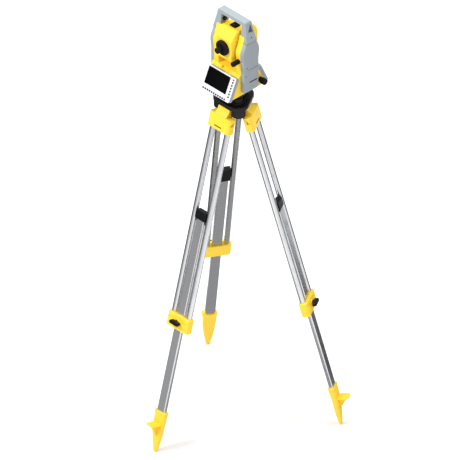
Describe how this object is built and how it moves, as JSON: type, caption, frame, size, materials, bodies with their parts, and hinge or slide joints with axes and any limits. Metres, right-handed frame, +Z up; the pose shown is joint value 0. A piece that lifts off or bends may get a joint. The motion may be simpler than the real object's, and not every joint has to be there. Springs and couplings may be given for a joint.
{
  "type": "total station on tripod",
  "caption": "Surveying total station on an extended aluminium tripod, with a tilting telescope, turning alidade, carrying handle and keypad displays.",
  "frame": {"origin": "the ground mark under the instrument's plumb axis, level with the three foot tips", "axes": "+Z up along the plumb axis; the operator, the eyepiece and the front display are on the -Y side; +X to the operator's right, where the battery door is"},
  "size_m": [0.76, 0.6602, 1.727],
  "materials": {
    "yellow_plastic": "satin, fine moulded grain",
    "yellow_paint": "semi-gloss paint on a light casting",
    "grey_shell": "satin",
    "black_plastic": "fine grain",
    "black_casting": "black powder coat",
    "rubber_grip": "matt",
    "leg_tube": "brushed and clear anodised",
    "steel": "bright",
    "brass": "machined",
    "lens_glass": "coated",
    "level_glass": "clear",
    "screen_glass": "gloss",
    "white_face": "satin",
    "key_black": "matt",
    "power_red": "matt",
    "battery_case": "fine grain"
  },
  "bodies": {
    "head": {"tripod_head": "black_casting", "leg_hinge_pins": "steel"},
    "front_upper_leg": {"front_leg_collar": "yellow_plastic", "front_leg_tubes": "leg_tube", "front_leg_clamp": "yellow_plastic"},
    "front_lower_leg": {"front_inner_leg": "leg_tube", "front_leg_cap": "black_plastic", "front_foot_shoe": "yellow_paint"},
    "front_clamp_screw": {"front_clamp_knob": "black_plastic"},
    "right_upper_leg": {"right_leg_collar": "yellow_plastic", "right_leg_tubes": "leg_tube", "right_leg_clamp": "yellow_plastic"},
    "right_lower_leg": {"right_inner_leg": "leg_tube", "right_leg_cap": "black_plastic", "right_foot_shoe": "yellow_paint"},
    "right_clamp_screw": {"right_clamp_knob": "black_plastic"},
    "back_upper_leg": {"back_leg_collar": "yellow_plastic", "back_leg_tubes": "leg_tube", "back_leg_clamp": "yellow_plastic"},
    "back_lower_leg": {"back_inner_leg": "leg_tube", "back_leg_cap": "black_plastic", "back_foot_shoe": "yellow_paint"},
    "back_clamp_screw": {"back_clamp_knob": "black_plastic"},
    "screw_carrier": {"screw_carrier": "steel"},
    "tribrach": {"tribrach_spring_plate": "black_casting", "tribrach_body": "black_casting", "circular_level": "level_glass"},
    "fixing_screw": {"fixing_screw": "brass"},
    "foot_screw_a": {"foot_screw_a": "black_plastic"},
    "foot_screw_b": {"foot_screw_b": "black_plastic"},
    "foot_screw_c": {"foot_screw_c": "black_plastic"},
    "lock_lever": {"lock_lever": "black_plastic"},
    "alidade": {"vertical_spindle": "steel", "alidade_frame": "yellow_plastic", "right_cover": "grey_shell", "left_cover": "grey_shell", "handle": "grey_shell", "handle_screws": "black_plastic", "cover_screws": "steel", "battery": "battery_case", "front_display_housing": "white_face", "front_screen": "screen_glass", "back_display_housing": "white_face", "back_screen": "screen_glass"},
    "battery_door": {"battery_door": "grey_shell"},
    "vertical_drive_knob": {"vertical_drive_knob": "rubber_grip"},
    "horizontal_drive_knob": {"horizontal_drive_knob": "rubber_grip"},
    "front_keys": {"front_keys": "key_black"},
    "front_power_key": {"front_power_key": "power_red"},
    "back_keys": {"back_keys": "key_black"},
    "back_power_key": {"back_power_key": "power_red"},
    "telescope": {"telescope_housing": "yellow_plastic", "trunnion_shafts": "steel", "optical_sight": "black_plastic", "objective_cell": "black_plastic", "objective_lens": "lens_glass"},
    "focus_ring": {"focus_ring": "rubber_grip"},
    "focusing_lens": {"focusing_lens": "lens_glass"},
    "eyepiece": {"eyepiece_ring": "black_plastic", "eyepiece_lens": "lens_glass"}
  },
  "joints": [
    {"name": "front_leg_spread", "type": "hinge", "parent": "head", "child": "front_upper_leg", "pos_m": [0, -0.045, 1.335], "axis": [-1, 0, 0], "range_deg": [-14, 20]},
    {"name": "front_leg_extension", "type": "slide", "parent": "front_upper_leg", "child": "front_lower_leg", "axis": [0, -0.2593, -0.9658], "range_m": [-0.31, 0.33]},
    {"name": "front_clamp_turn", "type": "hinge", "parent": "front_upper_leg", "child": "front_clamp_screw", "pos_m": [0, -0.2723, 0.51284], "axis": [0, -0.9658, 0.2593], "range_deg": [-540, 45]},
    {"name": "right_leg_spread", "type": "hinge", "parent": "head", "child": "right_upper_leg", "pos_m": [0.03897, 0.0225, 1.335], "axis": [0.5, -0.866, 0], "range_deg": [-14, 20]},
    {"name": "right_leg_extension", "type": "slide", "parent": "right_upper_leg", "child": "right_lower_leg", "axis": [0.2246, 0.1297, -0.9658], "range_m": [-0.31, 0.33]},
    {"name": "right_clamp_turn", "type": "hinge", "parent": "right_upper_leg", "child": "right_clamp_screw", "pos_m": [0.23582, 0.13615, 0.51284], "axis": [0.8364, 0.4829, 0.2593], "range_deg": [-540, 45]},
    {"name": "back_leg_spread", "type": "hinge", "parent": "head", "child": "back_upper_leg", "pos_m": [-0.03897, 0.0225, 1.335], "axis": [0.5, 0.866, 0], "range_deg": [-14, 20]},
    {"name": "back_leg_extension", "type": "slide", "parent": "back_upper_leg", "child": "back_lower_leg", "axis": [-0.2246, 0.1297, -0.9658], "range_m": [-0.31, 0.33]},
    {"name": "back_clamp_turn", "type": "hinge", "parent": "back_upper_leg", "child": "back_clamp_screw", "pos_m": [-0.23582, 0.13615, 0.51284], "axis": [-0.8364, 0.4829, 0.2593], "range_deg": [-540, 45]},
    {"name": "centring_across", "type": "slide", "parent": "head", "child": "screw_carrier", "axis": [1, 0, 0], "range_m": [-0.008, 0.008]},
    {"name": "centring_along", "type": "slide", "parent": "screw_carrier", "child": "tribrach", "axis": [0, 1, 0], "range_m": [-0.008, 0.008]},
    {"name": "fixing_screw_turn", "type": "hinge", "parent": "tribrach", "child": "fixing_screw", "pos_m": [0, 0, 1.34], "axis": [0, 0, 1], "range_deg": [-1080, 45]},
    {"name": "foot_screw_a_turn", "type": "hinge", "parent": "tribrach", "child": "foot_screw_a", "pos_m": [0.03984, -0.023, 1.39], "axis": [0, 0, 1], "range_deg": [-1800, 1800]},
    {"name": "foot_screw_b_turn", "type": "hinge", "parent": "tribrach", "child": "foot_screw_b", "pos_m": [0, 0.046, 1.39], "axis": [0, 0, 1], "range_deg": [-1800, 1800]},
    {"name": "foot_screw_c_turn", "type": "hinge", "parent": "tribrach", "child": "foot_screw_c", "pos_m": [-0.03984, -0.023, 1.39], "axis": [0, 0, 1], "range_deg": [-1800, 1800]},
    {"name": "tribrach_lock", "type": "hinge", "parent": "tribrach", "child": "lock_lever", "pos_m": [0.0433, 0.025, 1.408], "axis": [0.866, 0.5, 0], "range_deg": [-110, 0]},
    {"name": "alidade_turn", "type": "hinge", "parent": "tribrach", "child": "alidade", "pos_m": [0, 0, 1.42], "axis": [0, 0, 1], "continuous": true},
    {"name": "battery_door_hinge", "type": "hinge", "parent": "alidade", "child": "battery_door", "pos_m": [0.084, 0.009, 1.531], "axis": [0, -1, 0], "range_deg": [0, 80]},
    {"name": "vertical_drive_turn", "type": "hinge", "parent": "alidade", "child": "vertical_drive_knob", "pos_m": [0.059, -0.045, 1.568], "axis": [0, -1, 0], "continuous": true},
    {"name": "horizontal_drive_turn", "type": "hinge", "parent": "alidade", "child": "horizontal_drive_knob", "pos_m": [0.08, 0.056, 1.452], "axis": [1, 0, 0], "continuous": true},
    {"name": "front_keys_press", "type": "slide", "parent": "alidade", "child": "front_keys", "axis": [0, 0.9092, -0.4163], "range_m": [0, 0.0006], "stiffness_N_per_m": 1200},
    {"name": "front_power_key_press", "type": "slide", "parent": "alidade", "child": "front_power_key", "axis": [0, 0.9092, -0.4163], "range_m": [0, 0.0006], "stiffness_N_per_m": 1200},
    {"name": "back_keys_press", "type": "slide", "parent": "alidade", "child": "back_keys", "axis": [0, -0.9092, -0.4163], "range_m": [0, 0.0006], "stiffness_N_per_m": 1200},
    {"name": "back_power_key_press", "type": "slide", "parent": "alidade", "child": "back_power_key", "axis": [0, -0.9092, -0.4163], "range_m": [0, 0.0006], "stiffness_N_per_m": 1200},
    {"name": "telescope_tilt", "type": "hinge", "parent": "alidade", "child": "telescope", "pos_m": [0, 0, 1.609], "axis": [1, 0, 0], "continuous": true},
    {"name": "focus_turn", "type": "hinge", "parent": "telescope", "child": "focus_ring", "pos_m": [0, -0.065, 1.609], "axis": [0, -1, 0], "range_deg": [-270, 270]},
    {"name": "focusing_lens_travel", "type": "slide", "parent": "telescope", "child": "focusing_lens", "axis": [0, -1, 0], "range_m": [-0.0101, 0.0101]},
    {"name": "eyepiece_turn", "type": "hinge", "parent": "telescope", "child": "eyepiece", "pos_m": [0, -0.075, 1.609], "axis": [0, -1, 0], "range_deg": [-180, 180]}
  ],
  "couplings": [
    {"joint": "focusing_lens_travel", "follows": "focus_turn", "m_per_rad": 0.0021}
  ]
}
